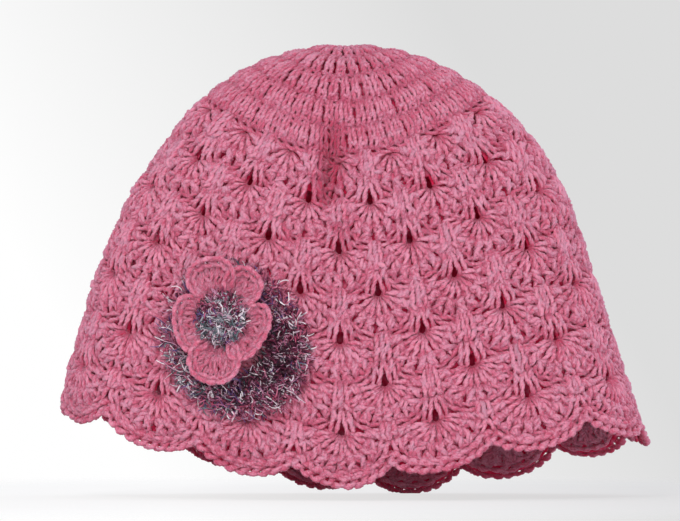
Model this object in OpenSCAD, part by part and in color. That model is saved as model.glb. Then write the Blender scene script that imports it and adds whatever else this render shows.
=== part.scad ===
// Crocheted cloche hat with a sewn-on flower.
// Millimetres, +Z up, crown on top, front towards -Y, standing on the scallops of its brim.
// The fabric is a thin shell around a middle surface. A point of that surface has two values:
// its way round, as a share of a full turn from the front, and its way down, in millimetres of
// fabric from the centre of the crown. Every round is a band between two ways down.

/* [Hat] */
// Width of the hat across the brim
hat_w = 240; // [210:1:290]
// Depth of the hat across the brim, front to back
hat_d = 126; // [105:1:155]
// Thickness of the crocheted fabric
fabric_t = 4.5; // [3:0.1:6]
// Squareness of the plan at the brim: 2 is an ellipse
brim_square = 2.7; // [2:0.1:3.4]
// How far the crown leans to the wearer's right
crown_lean = 4; // [0:0.5:10]
// How far the brim drops on the wearer's left and rises on the right
brim_droop = 6; // [0:0.5:10]
// How far the front of the brim rides up
front_lift = 5.6; // [0:0.1:8]
// How far the brim flares out at its edge
brim_flare = 4; // [0:0.5:10]

/* [Crochet rounds] */
// Outer radius of the chain ring at the crown centre
start_r = 6; // [4:0.5:9]
// Radius of the hole that the chain ring closes round
start_hole_r = 1.5; // [1:0.1:3]
// Height of a crown round of plain stitches
crown_round_h = 10.8; // [9:0.1:13]
// Height of a shell round
shell_round_h = 19.5; // [16:0.1:24]
// Width of the chain edging
edging_w = 4; // [3:0.1:6]
// Shells in each round
shells = 15; // [11:2:19]
// How deep the notches between the edge's scallops are
notch_depth = 9; // [4:0.5:12]
// How far the line between two rounds waves up and down
round_wave = 1.5; // [0:0.1:3]
// Shift of the front shell towards the wearer's right, in shares of a turn
front_shift = -0.008; // [-0.03:0.001:0.03]

/* [Flower] */
// Way down from the crown centre to the flower's middle
flower_down = 141; // [110:1:150]
// Way round from the front centre, in shares of a turn
flower_round = -0.099; // [-0.12:0.001:0.12]
// Distance of the petals' round ends from the flower's middle
petal_reach = 17; // [15:0.5:20]
// Radius of a petal's round end
petal_r = 8; // [6:0.1:8.4]
// Height of a petal's rolled border
petal_h = 7; // [4:0.5:9]
// Thickness of the border strand and of the petal's floor
petal_t = 2.4; // [1.6:0.1:3]
// Radius of the eyelash yarn ruffle behind the petals
ruffle_r = 33; // [28:1:38]
// Thickness of that ruffle
ruffle_t = 7; // [5:0.5:9]
// Radius of the eyelash yarn tuft in the middle
tuft_r = 11; // [9:0.5:12]
// Height of the tuft
tuft_h = 7; // [5:0.5:9]

/* [Hidden] */
CROWN_ROUNDS = 5;
SHELL_ROUNDS = 7;

PINK = [0.74, 0.42, 0.53];
DARK_PINK = [0.68, 0.36, 0.47];
FUR = [0.45, 0.33, 0.42];

// Ways down of the rounds' edges
crown_end = start_r + CROWN_ROUNDS * crown_round_h;
shells_end = crown_end + SHELL_ROUNDS * shell_round_h;
deep = shells_end + edging_w;

// The fabric hangs a little longer over the sides of the head than over the front.
side_ease = 1.05;
// Slope of the fabric where the crown's round top ends, and at the brim, in degrees from level
SIDE_SLOPE = [74, 76];
FRONT_SLOPE = [72, 83];
flare_from = 0.64 * deep;

/* Middle surface */

// Mean of the cosine over a slope that turns evenly from a to b
function mean_cos(a, b) = (sin(b) - sin(a)) / (b - a) * 180 / PI;
// Radius of the round top with which a fabric of this length reaches this far out
function top_radius(reach, length, slope) =
    let (k = mean_cos(slope[0], slope[1]))
    (reach - length * k) / (sin(slope[0]) - slope[0] * PI / 180 * k);
// [out, down] after a way s: a round top, then a long and nearly straight fall
function fall(s, length, r, slope) =
    let (
        top = r * slope[0] * PI / 180,
        big_r = (length - top) / (slope[1] - slope[0]) * 180 / PI,
        a = s < top ? s / r * 180 / PI : slope[0] + (s - top) / big_r * 180 / PI
    )
    s < top
        ? [r * sin(a), r * (1 - cos(a))]
        : [r * sin(slope[0]) + big_r * (sin(a) - sin(slope[0])),
           r * (1 - cos(slope[0])) + big_r * (cos(slope[0]) - cos(a))];

side_reach = hat_w / 2 - fabric_t / 2 - brim_flare;
front_reach = hat_d / 2 - fabric_t / 2;
side_r = top_radius(side_reach, deep * side_ease, SIDE_SLOPE);
front_r = top_radius(front_reach, deep, FRONT_SLOPE);
// The lowest scallop is at the back, this much above the plain fall
BACK_RISE = 0.8;
hat_h = fall(deep, deep, front_r, FRONT_SLOPE)[1] - BACK_RISE;

// Plan shape, from a circle at the crown centre to a squarer oval at the brim
function squareness(s) = 2 + (brim_square - 2) * min(1, s / deep);
function plan(t, n) =
    [sin(t), cos(t)] / pow(pow(abs(sin(t)), n) + pow(abs(cos(t)), n), 1 / n);

// Angle on the plan for a share of the brim's own length, so that shells are equally wide
PLAN_STEPS = 120;
function brim_point(t) =
    let (p = plan(t, brim_square)) [hat_w / 2 * p[0], hat_d / 2 * p[1]];
brim_walk = [
    for (
        i = 0, way = 0;
        i <= PLAN_STEPS;
        way = way + norm(brim_point((i + 1) * 360 / PLAN_STEPS) - brim_point(i * 360 / PLAN_STEPS)),
        i = i + 1
    )
    [way, i * 360 / PLAN_STEPS]
];
brim_length = brim_walk[PLAN_STEPS][0];
function brim_angle(f) =
    let (g = f - floor(f)) lookup(g * brim_length, brim_walk) + 360 * floor(f);
function plan_angle(f, s) =
    let (w = min(1, s / crown_end)) 360 * f * (1 - w) + brim_angle(f) * w;

// How the brim rises from its middle to the sides: evenly at the back, in a soft V at the front
FRONT_RISE = 1.3;
function rise_power(k, forward) = 2 - (2 - FRONT_RISE) * k * k * (1 + forward) / 2;

// How far the brim rides up: at the front more on the wearer's left, at the back on the right only
LIFT_TILT = 4;
BACK_LIFT = 1.5;
BACK_LIFT_TILT = 8.75;
BACK_LIFT_MOST = 5.5;
function smooth_step(v) = let (c = max(0, min(1, v))) c * c * (3 - 2 * c);
function brim_lift(p) =
    let (back = max(0, min(BACK_LIFT_MOST, BACK_LIFT - BACK_LIFT_TILT * p[0])))
    smooth_step(p[1] / 0.85) * (front_lift + LIFT_TILT * p[0]) + smooth_step(-p[1] / 0.85) * back;

function spot(f, s) =
    let (
        k = s / deep,
        p = plan(plan_angle(f, s), squareness(s)),
        share = pow(abs(p[0]), rise_power(k, p[1])),
        side = fall(s * side_ease, deep * side_ease, side_r, SIDE_SLOPE),
        front = fall(s, deep, front_r, FRONT_SLOPE),
        flare = brim_flare * pow(max(0, (s - flare_from) / (deep - flare_from)), 1.5)
    )
    [
        (side[0] + flare) * p[0] - crown_lean * (1 - k * k),
        -front[0] * p[1],
        hat_h - side[1] * share - front[1] * (1 - share)
            + k * k * (brim_lift(p) - brim_droop * pow(p[0], 3))
    ];

PROBE_F = 0.002;
PROBE_S = 0.4;
function unit(v) = v / norm(v);
function outward(f, s) =
    unit(cross(
        spot(f, s + PROBE_S) - spot(f, s - PROBE_S),
        spot(f + PROBE_F, s) - spot(f - PROBE_F, s)
    ));

/* Bands of fabric */

// Ways down of the line between shell round i and the next, waving with the shells
function shell_phase(i) = (i - SHELL_ROUNDS) / 2;
function wave_line(i, f) =
    i == 0
        ? crown_end
        : crown_end + i * shell_round_h
            + round_wave * (cos(360 * ((f - front_shift) * shells + shell_phase(i))) - 1) / 2;
// The brim's outline: one round scallop per shell, with a sharp notch between two
FULLNESS = 0.85;
function scallop_line(f) =
    let (
        v = (f - front_shift) * shells,
        off = 2 * (v - floor(v + 0.5)),
        lift = (1 - sqrt(1 - FULLNESS * off * off)) / (1 - sqrt(1 - FULLNESS))
    )
    shells_end - notch_depth * lift;
function shell_line(i, f) = i == SHELL_ROUNDS ? scallop_line(f) : wave_line(i, f);

CROWN_SEGMENTS = 60;
PER_SHELL = 8;
SHELL_SEGMENTS = shells * PER_SHELL;

// A closed band, from its upper edge to its lower edge, with an outer and an inner face.
// tops and bottoms hold the way down at each of the n points round the band.
module band(n, tops, bottoms, rows, start = 0) {
    half = fabric_t / 2;
    points = [
        for (i = [0 : n - 1], side = [1, -1], j = [0 : rows])
            let (
                f = start + i / n,
                s = tops[i] + (bottoms[i] - tops[i]) * j / rows
            )
            spot(f, s) + side * half * outward(f, s)
    ];
    ring = 2 * (rows + 1);
    function at(i, side, j) = (i % n) * ring + side * (rows + 1) + j;
    faces = [
        for (i = [0 : n - 1]) each concat(
            [for (j = [0 : rows - 1]) [at(i, 0, j), at(i, 0, j + 1), at(i + 1, 0, j + 1), at(i + 1, 0, j)]],
            [for (j = [0 : rows - 1]) [at(i, 1, j), at(i + 1, 1, j), at(i + 1, 1, j + 1), at(i, 1, j + 1)]],
            [[at(i, 0, 0), at(i + 1, 0, 0), at(i + 1, 1, 0), at(i, 1, 0)]],
            [[at(i, 0, rows), at(i, 1, rows), at(i + 1, 1, rows), at(i + 1, 0, rows)]]
        )
    ];
    polyhedron(points, faces, convexity = 6);
}

function even(n, s) = [for (i = [0 : n - 1]) s];
function shell_f(i) = front_shift + i / SHELL_SEGMENTS;

module crown_start_ring() {
    color(DARK_PINK)
        band(CROWN_SEGMENTS, even(CROWN_SEGMENTS, start_hole_r), even(CROWN_SEGMENTS, start_r), 1);
}

// The last crown round has the shells' segments, so that it meets the first shell round.
module crown_round(i) {
    n = i == CROWN_ROUNDS ? SHELL_SEGMENTS : CROWN_SEGMENTS;
    top = start_r + (i - 1) * crown_round_h;
    color(PINK)
        band(n, even(n, top), even(n, top + crown_round_h), 1, i == CROWN_ROUNDS ? front_shift : 0);
}

module shell_round(i) {
    n = SHELL_SEGMENTS;
    color(i % 2 == 1 ? PINK : DARK_PINK)
        band(
            n,
            [for (k = [0 : n - 1]) shell_line(i - 1, shell_f(k))],
            [for (k = [0 : n - 1]) shell_line(i, shell_f(k))],
            2,
            front_shift
        );
}

module scallop_edging() {
    n = SHELL_SEGMENTS;
    color(DARK_PINK)
        band(
            n,
            [for (k = [0 : n - 1]) scallop_line(shell_f(k))],
            [for (k = [0 : n - 1]) scallop_line(shell_f(k)) + edging_w],
            1,
            front_shift
        );
}

/* Flower */

flower_out = outward(flower_round, flower_down);
flower_spot = spot(flower_round, flower_down) + fabric_t / 2 * flower_out;
// Centres of the petals, in degrees from the wearer's left, and of the ruffle behind them
PETAL_ANGLES = [118, 60, -28, -98, -165];
RUFFLE_OFFSET = [5, -7];
plug_r = 9;
flange_r = 13;
flange_t = 2;
ring_r = 6.5;
petal_floor = ruffle_t + flange_t;

// Local frame on the hat: +Z out of the fabric, +Y up the hat
module on_flower() {
    translate(flower_spot)
        rotate([90 - asin(flower_out[2]), 0, atan2(flower_out[0], -flower_out[1])])
            children();
}

module flower_fur_ruffle() {
    color(FUR)
        on_flower()
            difference() {
                translate([RUFFLE_OFFSET[0], RUFFLE_OFFSET[1], 0])
                    rotate_extrude($fn = 96)
                        union() {
                            square([ruffle_r - ruffle_t / 2, ruffle_t]);
                            translate([ruffle_r - ruffle_t / 2, ruffle_t / 2])
                                circle(d = ruffle_t, $fn = 32);
                        }
                translate([0, 0, -1])
                    cylinder(r = plug_r, h = ruffle_t + 2, $fn = 64);
            }
}

module flower_backing() {
    color(DARK_PINK)
        on_flower()
            union() {
                cylinder(r = plug_r, h = ruffle_t, $fn = 64);
                translate([0, 0, ruffle_t])
                    cylinder(r = flange_r, h = flange_t, $fn = 64);
            }
}

PETAL_NECK = 5;
PETAL_NECK_R = 1.6;
module petal_outline(inset) {
    hull() {
        translate([petal_reach, 0])
            circle(r = petal_r - inset, $fn = 32);
        translate([PETAL_NECK + ring_r, 0])
            circle(r = PETAL_NECK_R + petal_t - inset, $fn = 16);
    }
}

module flower_petal(i) {
    color(PINK)
        on_flower()
            rotate([0, 0, PETAL_ANGLES[i - 1]])
                translate([0, 0, petal_floor])
                    difference() {
                        linear_extrude(petal_h)
                            petal_outline(0);
                        translate([0, 0, petal_t])
                            linear_extrude(petal_h)
                                petal_outline(petal_t);
                    }
}

module flower_centre_ring() {
    color(DARK_PINK)
        on_flower()
            translate([0, 0, petal_floor])
                difference() {
                    cylinder(r = ring_r, h = petal_h, $fn = 48);
                    translate([0, 0, -1])
                        cylinder(r = ring_r - petal_t, h = petal_h + 2, $fn = 48);
                }
}

// The tuft is the cap of a sphere that stands on the ring and the petals' borders.
module flower_fur_tuft() {
    ball_r = (tuft_r * tuft_r + tuft_h * tuft_h) / (2 * tuft_h);
    color(FUR)
        on_flower()
            translate([0, 0, petal_floor + petal_h])
                intersection() {
                    translate([0, 0, tuft_h - ball_r])
                        sphere(r = ball_r, $fn = 64);
                    cylinder(r = tuft_r + 1, h = tuft_h + 1, $fn = 64);
                }
}

TACKS = 5;
TACK_R = 0.8;
TACK_L = 7;
module flower_sewing_tacks() {
    color(DARK_PINK)
        on_flower()
            for (i = [0 : TACKS - 1])
                rotate([0, 0, 20 + i * 360 / TACKS])
                    translate([flange_r + 0.2, 0, ruffle_t + TACK_R])
                        rotate([0, 90, 0])
                            cylinder(r = TACK_R, h = TACK_L, $fn = 24);
}

crown_start_ring();
for (i = [1 : CROWN_ROUNDS])
    crown_round(i);
for (i = [1 : SHELL_ROUNDS])
    shell_round(i);
scallop_edging();
flower_fur_ruffle();
flower_backing();
for (i = [1 : 5])
    flower_petal(i);
flower_centre_ring();
flower_fur_tuft();
flower_sewing_tacks();
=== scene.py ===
# %% [markdown]
# A crocheted cloche hat, made stitch by stitch. The CAD model holds the hat's size and its rounds as plain
# bands. Here every band is replaced by the yarn itself: two-ply strands that follow the real stitches. This
# first step loads the imported frame and keeps the CAD model's parts. The yarn has to stay inside it.

# %% Load the frame
import math

import bmesh
import bpy
import numpy as np
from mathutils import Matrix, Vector
from mathutils.kdtree import KDTree


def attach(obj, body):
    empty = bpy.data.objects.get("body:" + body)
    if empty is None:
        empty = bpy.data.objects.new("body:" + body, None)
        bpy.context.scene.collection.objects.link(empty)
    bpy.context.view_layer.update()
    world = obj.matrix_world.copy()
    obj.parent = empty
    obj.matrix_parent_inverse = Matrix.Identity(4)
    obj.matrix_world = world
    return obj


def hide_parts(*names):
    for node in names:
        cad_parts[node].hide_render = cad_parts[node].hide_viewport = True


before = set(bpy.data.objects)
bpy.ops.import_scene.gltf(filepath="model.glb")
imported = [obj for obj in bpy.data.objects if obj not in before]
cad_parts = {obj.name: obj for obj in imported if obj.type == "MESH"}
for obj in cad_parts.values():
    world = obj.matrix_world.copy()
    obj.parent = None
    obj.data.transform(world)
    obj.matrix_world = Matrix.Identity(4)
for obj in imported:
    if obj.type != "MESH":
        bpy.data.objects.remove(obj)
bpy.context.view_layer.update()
MM = 0.001
rng = np.random.default_rng(7)

# %% [markdown]
# The fabric is one smooth surface, and a point on it has two values: its way round (a share of a turn from
# the front) and its way down (millimetres of fabric from the crown centre). A pattern is then drawn flat, as
# a crochet chart is, and laid on the hat. The alternative is to model one stitch and array it, but the
# stitches grow and lean from round to round, so a chart that is bent onto the surface looks more natural.

# %% Sizes of the hat, in millimetres
HAT_W, HAT_D, FABRIC_T = 240, 126, 4.5
LEAN, DROOP, FLARE = 4, 6, 4
START_R, CROWN_H, SHELL_H, EDGING_W = 6, 10.8, 19.5, 4
CROWN_ROUNDS, SHELL_ROUNDS, SHELLS = 5, 7, 15
NOTCH, WAVE, FRONT_SHIFT = 9, 1.5, -0.008
SIDE_EASE, SQUARE = 1.05, 2.7
SIDE_SLOPE, FRONT_SLOPE, FRONT_RISE = (74, 76), (72, 83), 1.3
FRONT_LIFT, LIFT_TILT, BACK_RISE = 5.6, 4, 0.8
CROWN_END = START_R + CROWN_ROUNDS * CROWN_H
SHELLS_END = CROWN_END + SHELL_ROUNDS * SHELL_H
DEEP = SHELLS_END + EDGING_W
print("fabric from crown centre to brim edge:", DEEP, "mm")


# %% The middle surface
def top_radius(reach, length, slope):
    """Radius of the round top with which a fabric of this length reaches this far out."""
    a, b = np.radians(slope)
    k = (np.sin(b) - np.sin(a)) / (b - a)
    return (reach - length * k) / (np.sin(a) - a * k)


def fall(s, length, r, slope):
    """How far out and down the fabric is after a way s."""
    a, b = np.radians(slope)
    big = (length - r * a) / (b - a)
    angle = np.where(s < r * a, s / r, a + (s - r * a) / big)
    out = np.where(s < r * a, r * np.sin(angle), r * np.sin(a) + big * (np.sin(angle) - np.sin(a)))
    down = np.where(s < r * a, r * (1 - np.cos(angle)), r * (1 - np.cos(a)) + big * (np.cos(a) - np.cos(angle)))
    return out, down


SIDE_R = top_radius(HAT_W / 2 - FABRIC_T / 2 - FLARE, DEEP * SIDE_EASE, SIDE_SLOPE)
FRONT_R = top_radius(HAT_D / 2 - FABRIC_T / 2, DEEP, FRONT_SLOPE)
HAT_H = float(fall(np.array(DEEP), DEEP, FRONT_R, FRONT_SLOPE)[1]) - BACK_RISE


def plan(t, n):
    """Plan shape of unit size: a circle at n = 2, a squarer oval above."""
    g = (np.abs(np.sin(t)) ** n + np.abs(np.cos(t)) ** n) ** (-1 / n)
    return np.sin(t) * g, np.cos(t) * g


brim_t = np.linspace(0, 2 * np.pi, 721)
brim_x, brim_y = plan(brim_t, SQUARE)
brim_walk = np.concatenate([[0], np.cumsum(np.hypot(np.diff(HAT_W / 2 * brim_x), np.diff(HAT_D / 2 * brim_y)))])


def brim_lift(px, py):
    """How far the brim rides up at a place on the unit plan, front and back."""
    front, back = (np.clip(side / 0.85, 0, 1) ** 2 * (3 - 2 * np.clip(side / 0.85, 0, 1)) for side in (py, -py))
    return front * (FRONT_LIFT + LIFT_TILT * px) + back * np.clip(1.5 - 8.75 * px, 0, 5.5)


def spot(f, s):
    """The middle surface at a way round f and a way down s, in millimetres."""
    f, s = np.broadcast_arrays(np.asarray(f, float), np.asarray(s, float))
    turns = np.floor(f)
    brim = np.interp((f - turns) * brim_walk[-1], brim_walk, brim_t) + 2 * np.pi * turns
    w = np.minimum(1, s / CROWN_END)
    k = s / DEEP
    px, py = plan(2 * np.pi * f * (1 - w) + brim * w, 2 + (SQUARE - 2) * np.clip(k, 0, 1))
    side = fall(s * SIDE_EASE, DEEP * SIDE_EASE, SIDE_R, SIDE_SLOPE)
    front = fall(s, DEEP, FRONT_R, FRONT_SLOPE)
    flare = FLARE * (np.maximum(0, k - 0.64) / 0.36) ** 1.5
    share = np.abs(px) ** (2 - (2 - FRONT_RISE) * k * k * (1 + py) / 2)
    x = (side[0] + flare) * px - LEAN * (1 - k * k)
    z = HAT_H - side[1] * share - front[1] * (1 - share) + k * k * (brim_lift(px, py) - DROOP * px ** 3)
    return np.stack([x, -front[0] * py, z], -1)


def outward(f, s):
    """Unit normals of the middle surface."""
    n = np.cross(spot(f, s + 0.4) - spot(f, s - 0.4), spot(f + 0.002, s) - spot(f - 0.002, s))
    return n / np.linalg.norm(n, axis=-1, keepdims=True)


way_down = np.arange(1, DEEP + 8, 1.0)
round_f = np.linspace(0, 1, 241)
round_mm = [np.linalg.norm(np.diff(spot(round_f, s), axis=0), axis=1).sum() for s in way_down]


def round_length(s):
    """Length of fabric round the hat at a way down s."""
    return float(np.interp(s, way_down, round_mm))


print("round the crown's end", round(round_length(CROWN_END)), "mm, round the brim", round(round_length(DEEP)), "mm")

# %% [markdown]
# A soft hat is never as even as its pattern. The relief moves the fabric in and out by a few millimetres: a
# slow wave all over, a pressed-in crease below the crown, and brim shells that curl one by one. All of it is
# a smooth function of the two surface values, so neighbouring strands move together and nothing tears.

# %% Relief and placing
wave_phase = rng.uniform(0, 2 * np.pi, 6)
curl = rng.normal(0, 1, SHELLS)


def crease(f, s, at_f, at_s, half_wide, half_long, depth):
    """A pressed-in valley that runs down the hat, wide and long in millimetres."""
    across = (f - at_f) * np.interp(s, way_down, round_mm) / half_wide
    return -depth * np.exp(-np.abs(across) ** 1.7 - ((s - at_s) / half_long) ** 4)


def relief(f, s):
    """How far the fabric stands off the middle surface."""
    k = np.clip(s / DEEP, 0, 1.1)
    slow = 0.9 * np.sin(2 * np.pi * 3 * f + wave_phase[0] + 2.5 * k) + 0.7 * np.sin(2 * np.pi * 5 * f + wave_phase[1] - 4 * k)
    slow = slow + 0.8 * np.sin(9 * k + wave_phase[2]) * np.sin(2 * np.pi * 2 * f + wave_phase[3])
    near = f - np.round(f)
    dent = crease(near, s, -0.02, 64, 4.4, 17, 10) + crease(near, s, -0.004, 93, 4, 12, 4)
    v = (f - FRONT_SHIFT) * SHELLS
    shell = np.round(v).astype(int) % SHELLS
    edge = np.clip((s - (SHELLS_END - 14)) / 14, 0, 1.4) ** 2
    scallop = edge * (1.5 * curl[shell]) * np.cos(np.pi * (v - np.round(v)))
    shoulder = -5 * np.exp(-((near + 0.24) / 0.1) ** 2 - ((s - 92) / 36) ** 2)
    return slow * np.clip(k * 2, 0, 1) + dent + scallop + shoulder


def place(f, s, h):
    """Points in metres, h millimetres outside the fabric's middle."""
    f, s, h = np.broadcast_arrays(np.asarray(f, float), np.asarray(s, float), np.asarray(h, float))
    return MM * (spot(f, s) + outward(f, s) * (h + relief(f, s))[..., None])


print("a point on the front:", place(0, 150, 0).round(4))

# %% [markdown]
# The yarn is two plies twisted round each other, so its section is a soft figure of eight that turns along
# the strand. A curve with that section as its bevel object does this: each point's tilt turns the section,
# and each point's radius thins or thickens the yarn. The curves of one round become one mesh.

# %% The yarn
PLY_TURN = 2 * np.pi / 8.5
ply_data = bpy.data.curves.new("ply_section", "CURVE")
ply_data.dimensions = "2D"
section = ply_data.splines.new("POLY")
section.points.add(7)
for i, r in enumerate([1.0, 0.84, 0.56, 0.84] * 2):
    a = 2 * math.pi * i / 8
    section.points[i].co = (MM * r * math.cos(a), MM * r * math.sin(a), 0, 1)
section.use_cyclic_u = True
ply_section = bpy.data.objects.new("ply_section", ply_data)


gauge_f, gauge_s = (a.ravel() for a in np.meshgrid(np.linspace(0, 1, 481), np.arange(2, DEEP + 6, 1.5)))
gauge_points = place(gauge_f, gauge_s, 0)
gauge_normals = outward(gauge_f, gauge_s)
gauge = KDTree(len(gauge_points))
for i, point in enumerate(gauge_points):
    gauge.insert(point, i)
gauge.balance()


def height_over_fabric(made):
    """How far each vertex stands off the middle of the fabric, in millimetres."""
    co = np.empty(3 * len(made.vertices))
    made.vertices.foreach_get("co", co)
    co = co.reshape(-1, 3)
    near = np.array([gauge.find(point)[1] for point in co])
    return (((co - gauge_points[near]) * gauge_normals[near]).sum(axis=1) / MM).astype(np.float32)


class Yarn:
    """Collects the strands of one piece, and turns them into a mesh."""

    def __init__(self, name):
        self.name = name
        self.strands = []

    def add(self, points, radius):
        """One strand through points in metres. radius is in millimetres, one value or one for each point."""
        points = np.asarray(points, float)
        radius = np.broadcast_to(np.asarray(radius, float), len(points))
        self.strands.append((points, radius))

    def mesh(self, on_hat=True, section_object=ply_section, twist=PLY_TURN):
        """The strands as one mesh object at the origin."""
        data = bpy.data.curves.new(self.name, "CURVE")
        data.dimensions = "3D"
        data.bevel_mode = "OBJECT"
        data.bevel_object = section_object
        data.use_fill_caps = True
        for points, radius in self.strands:
            n = len(points)
            way = np.concatenate([[0], np.cumsum(np.linalg.norm(np.diff(points, axis=0), axis=1))]) / MM
            spline = data.splines.new("POLY")
            spline.points.add(n - 1)
            spline.points.foreach_set("co", np.concatenate([points, np.ones((n, 1))], axis=1).ravel())
            spline.points.foreach_set("radius", radius)
            spline.points.foreach_set("tilt", way * twist + rng.uniform(0, 2 * np.pi))
        carrier = bpy.data.objects.new(self.name, data)
        bpy.context.scene.collection.objects.link(carrier)
        made = bpy.data.meshes.new_from_object(carrier.evaluated_get(bpy.context.evaluated_depsgraph_get()))
        bpy.data.objects.remove(carrier)
        bpy.data.curves.remove(data)
        made.shade_smooth()
        # The height over the fabric is kept for the yarn's colour, which paints shade with it.
        proud = height_over_fabric(made) if on_hat else np.full(len(made.vertices), 2.2, np.float32)
        made.attributes.new("proud", "FLOAT", "POINT").data.foreach_set("value", proud)
        piece = bpy.data.objects.new(self.name, made)
        bpy.context.scene.collection.objects.link(piece)
        print(self.name, len(self.strands), "strands,", len(made.polygons), "faces")
        return piece


def finish_piece(piece, material, slot, *nodes):
    """Gives a piece its material, puts it on the root body, and hides the CAD parts that it replaces."""
    piece.data.materials.clear()
    piece.data.materials.append(material)
    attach(piece, "root")
    if nodes:
        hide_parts(*nodes)
    return piece


# %% [markdown]
# The yarn's colour is a heathered pink: rose and lighter, greyer pink fibres side by side. Noise in Object
# coordinates gives patches that run across strands, and the strands' own UV map gives fine fibre streaks
# that follow each ply. A little sheen stands for the fuzz. The colour also follows each point's height over
# the fabric's middle as painted shade: low between strands the pink is deeper and darker, on top lighter.

# %% Materials
def new_material(name):
    """A material with an emptied node tree, its tree and its Principled shader."""
    material = bpy.data.materials.new(name)
    material.use_nodes = True
    tree = material.node_tree
    tree.nodes.clear()
    out = tree.nodes.new("ShaderNodeOutputMaterial")
    shader = tree.nodes.new("ShaderNodeBsdfPrincipled")
    tree.links.new(shader.outputs["BSDF"], out.inputs["Surface"])
    return material, tree, shader


def linear(r, g, b):
    """Linear colour for sRGB values from 0 to 255."""
    return [((v / 255 + 0.055) / 1.055) ** 2.4 if v > 10 else v / 255 / 12.92 for v in (r, g, b)] + [1]


def noise(tree, vector, scale, detail=2, roughness=0.55):
    """A noise texture's factor on the given coordinates."""
    node = tree.nodes.new("ShaderNodeTexNoise")
    node.inputs["Scale"].default_value = scale
    node.inputs["Detail"].default_value = detail
    node.inputs["Roughness"].default_value = roughness
    tree.links.new(vector, node.inputs["Vector"])
    return node.outputs["Fac"]


def ramp(tree, factor, stops):
    """A colour ramp through (position, colour) stops."""
    node = tree.nodes.new("ShaderNodeValToRGB")
    while len(node.color_ramp.elements) < len(stops):
        node.color_ramp.elements.new(0.5)
    for element, (position, colour) in zip(node.color_ramp.elements, stops):
        element.position = position
        element.color = colour
    tree.links.new(factor, node.inputs["Fac"])
    return node.outputs["Color"]


def stretched_uv(tree, along, around):
    """The strand's UV map, scaled along and around the yarn."""
    uv = tree.nodes.new("ShaderNodeTexCoord")
    mapping = tree.nodes.new("ShaderNodeMapping")
    mapping.inputs["Scale"].default_value = (along, around, 1)
    tree.links.new(uv.outputs["UV"], mapping.inputs["Vector"])
    return mapping.outputs["Vector"]


def proud(tree):
    """How far the surface stands off the fabric's middle, in millimetres. The yarn's colour uses it for painted
    shade.
    """
    node = tree.nodes.new("ShaderNodeAttribute")
    node.attribute_name = "proud"
    return node.outputs["Fac"]


def each_strand(tree):
    """A number from 0 to 1 that differs from strand to strand."""
    return tree.nodes.new("ShaderNodeNewGeometry").outputs["Random Per Island"]


def math_node(tree, operation, a, b=0.0, c=0.0):
    """A Math node whose inputs are sockets or numbers."""
    node = tree.nodes.new("ShaderNodeMath")
    node.operation = operation
    for socket, value in zip(node.inputs, (a, b, c)):
        if isinstance(value, (int, float)):
            socket.default_value = value
        else:
            tree.links.new(value, socket)
    return node.outputs[0]


def fibre_streaks(tree, along, around, detail=3):
    """Noise drawn out along each strand, and different on every strand."""
    node = tree.nodes.new("ShaderNodeTexNoise")
    node.noise_dimensions = "4D"
    node.inputs["Scale"].default_value = 1
    node.inputs["Detail"].default_value = detail
    node.inputs["Roughness"].default_value = 0.65
    tree.links.new(stretched_uv(tree, along, around), node.inputs["Vector"])
    tree.links.new(math_node(tree, "MULTIPLY", each_strand(tree), 60.0), node.inputs["W"])
    return node.outputs["Fac"]


def yarn_material(name, stops, sheen=0.35):
    """Heathered two-ply yarn. Its stops run from painted shade between strands to lighter fibres on top."""
    material, tree, shader = new_material(name)
    place_on = tree.nodes.new("ShaderNodeTexCoord").outputs["Object"]
    patches = noise(tree, place_on, 240, 3)
    # Painted shade: the lower a point lies in the fabric, the deeper and darker its pink; the fibres on top are
    # lighter.
    level = math_node(tree, "MULTIPLY_ADD", proud(tree), 0.095, 0.02)
    level = math_node(tree, "MULTIPLY_ADD", fibre_streaks(tree, 7, 9), 0.62, level)
    level = math_node(tree, "MULTIPLY_ADD", patches, 0.3, level)
    level = math_node(tree, "MULTIPLY_ADD", each_strand(tree), 0.08, level)
    tree.links.new(ramp(tree, level, stops), shader.inputs["Base Color"])
    bump = tree.nodes.new("ShaderNodeBump")
    bump.inputs["Strength"].default_value = 0.6
    bump.inputs["Distance"].default_value = 0.0004
    tree.links.new(fibre_streaks(tree, 12, 30, 2), bump.inputs["Height"])
    tree.links.new(bump.outputs["Normal"], shader.inputs["Normal"])
    shader.inputs["Roughness"].default_value = 0.88
    shader.inputs["Specular IOR Level"].default_value = 0.25
    shader.inputs["Subsurface Weight"].default_value = 0.35
    shader.inputs["Subsurface Radius"].default_value = (1.0, 0.3, 0.4)
    shader.inputs["Subsurface Scale"].default_value = 0.002
    shader.inputs["Sheen Weight"].default_value = sheen
    shader.inputs["Sheen Roughness"].default_value = 0.5
    shader.inputs["Sheen Tint"].default_value = linear(250, 205, 218)
    return material


# The low stops are painted shade for the gaps between strands, the high ones lighter fibres on top.
PINKS_WITH_PAINTED_SHADE = [(0.3, linear(222, 34, 78)), (0.46, linear(196, 48, 84)), (0.58, linear(186, 72, 101)), (0.7, linear(200, 99, 125)), (0.84, linear(222, 142, 165))]
pink_yarn = yarn_material("pink_yarn", PINKS_WITH_PAINTED_SHADE)
flower_pink = yarn_material("flower_pink", PINKS_WITH_PAINTED_SHADE)
print("yarn materials ready")

# %% [markdown]
# A double crochet is a post and a top. The post is two strands that cross once with the yarn-over lying
# slantwise on them; the top is a slanted link, and the links of a row lie in each other like a chain. Each
# helper lays one of these on a chart, from one point to another, in millimetres across and down.

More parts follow.
